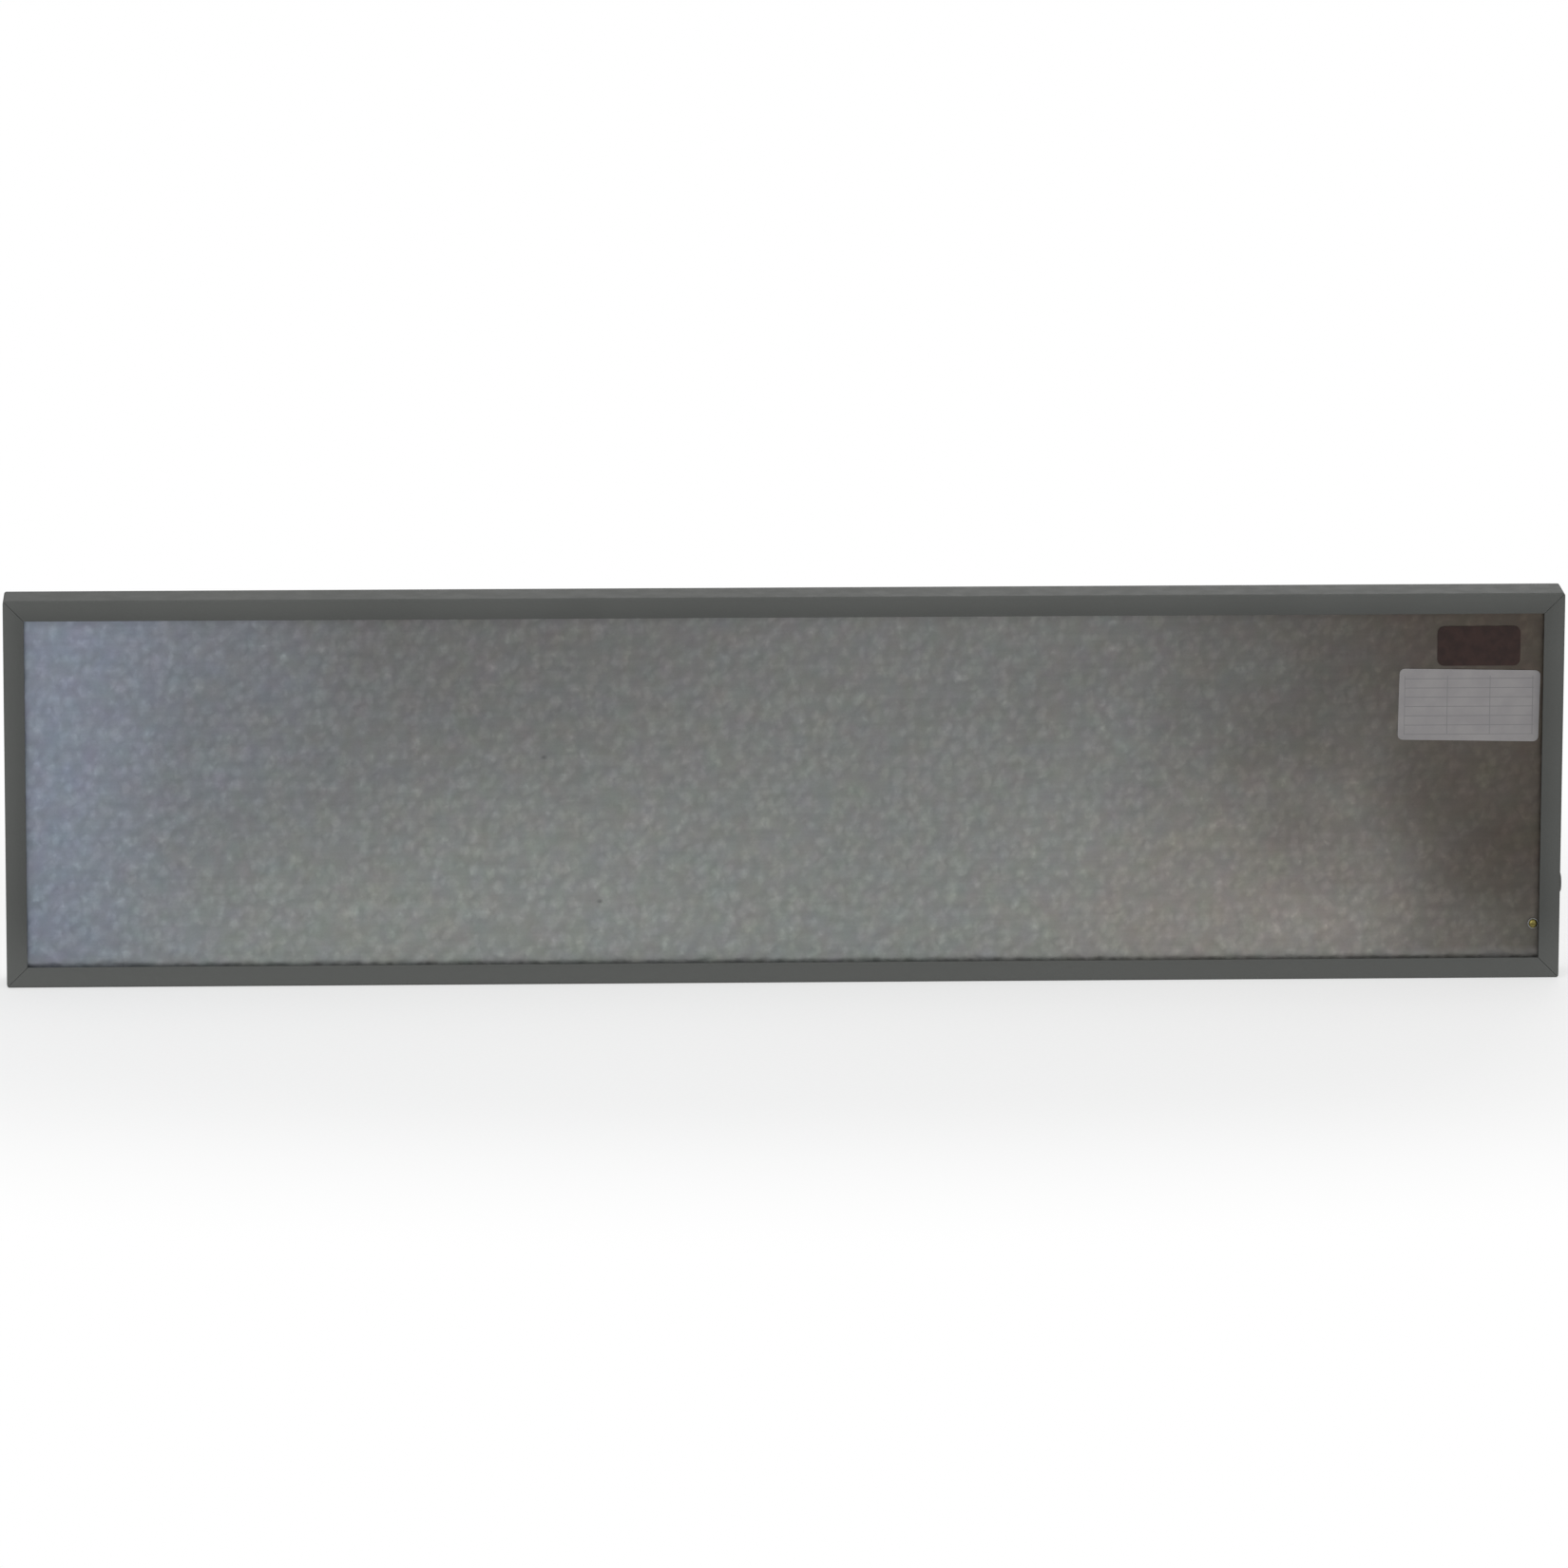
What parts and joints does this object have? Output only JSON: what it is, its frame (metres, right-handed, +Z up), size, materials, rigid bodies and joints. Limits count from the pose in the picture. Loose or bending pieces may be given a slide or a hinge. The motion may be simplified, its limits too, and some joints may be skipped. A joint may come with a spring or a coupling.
{
  "type": "wall panel heater",
  "caption": "Slim rectangular infrared wall panel heater with a mitred grey frame, an embossed bare metal back sheet and a flat painted front plate.",
  "frame": {"origin": "middle of the bottom edge's flat outer face, where the panel stands", "axes": "+X along the long side, to the right when the embossed rear is looked at; +Y from the rear lips to the heated front; +Z up"},
  "size_m": [1.2021, 0.04, 0.304],
  "materials": {
    "black_plastic": "moulded",
    "blue_lead": "insulation",
    "brass": "machined",
    "brown_lead": "insulation",
    "cable_silicone": "smooth silicone insulation",
    "foil": "bright soft foil",
    "frame_paint": "grey powder coat, fine orange-peel texture",
    "front_paint": "smooth satin heat-resistant paint",
    "glass_cloth": "woven glass cloth",
    "green_lead": "insulation",
    "key_casting": "as cast",
    "label_film": "plain satin film",
    "mineral_wool": "pressed mineral wool board",
    "pale_plastic": "moulded",
    "seal_silicone": "matte silicone",
    "sticker_film": "plain dark satin film",
    "stucco_aluminium": "stucco-embossed bare sheet, fine grain",
    "yellow_zinc": "yellow-passivated zinc plating",
    "zinc_steel": "bright zinc plating"
  },
  "bodies": {
    "root": {"back_sheet": "stucco_aluminium", "bottom_rail": "frame_paint", "bracket_screw_left": "zinc_steel", "bracket_screw_right": "zinc_steel", "cable_gland": "black_plastic", "clamp_bar_screw_lower": "zinc_steel", "clamp_bar_screw_upper": "zinc_steel", "clamp_screw_in_earth": "zinc_steel", "clamp_screw_in_live": "zinc_steel", "clamp_screw_in_neutral": "zinc_steel", "clamp_screw_out_earth": "zinc_steel", "clamp_screw_out_live": "zinc_steel", "clamp_screw_out_neutral": "zinc_steel", "cord_clamp": "pale_plastic", "corner_key_bottom_left": "key_casting", "corner_key_bottom_right": "key_casting", "corner_key_top_left": "key_casting", "corner_key_top_right": "key_casting", "cutout_body": "black_plastic", "cutout_cap": "foil", "earth_lead": "green_lead", "earth_nut": "zinc_steel", "earth_screw": "yellow_zinc", "earth_tag": "brass", "earth_washer": "zinc_steel", "front_plate": "front_paint", "gland_nut": "black_plastic", "heater_carrier_sheet": "glass_cloth", "heating_cable": "cable_silicone", "insulation_board": "mineral_wool", "left_rail": "frame_paint", "link_lead": "brown_lead", "live_lead": "brown_lead", "neutral_lead": "blue_lead", "plain_sticker": "sticker_film", "plate_seal": "seal_silicone", "rating_label": "label_film", "reflector_foil": "foil", "right_rail": "frame_paint", "splice_sleeve_return": "brass", "splice_sleeve_start": "brass", "terminal_block": "pale_plastic", "terminal_bracket": "zinc_steel", "terminal_sleeve_earth": "brass", "terminal_sleeve_live": "brass", "terminal_sleeve_neutral": "brass", "top_rail": "frame_paint"}
  },
  "joints": []
}
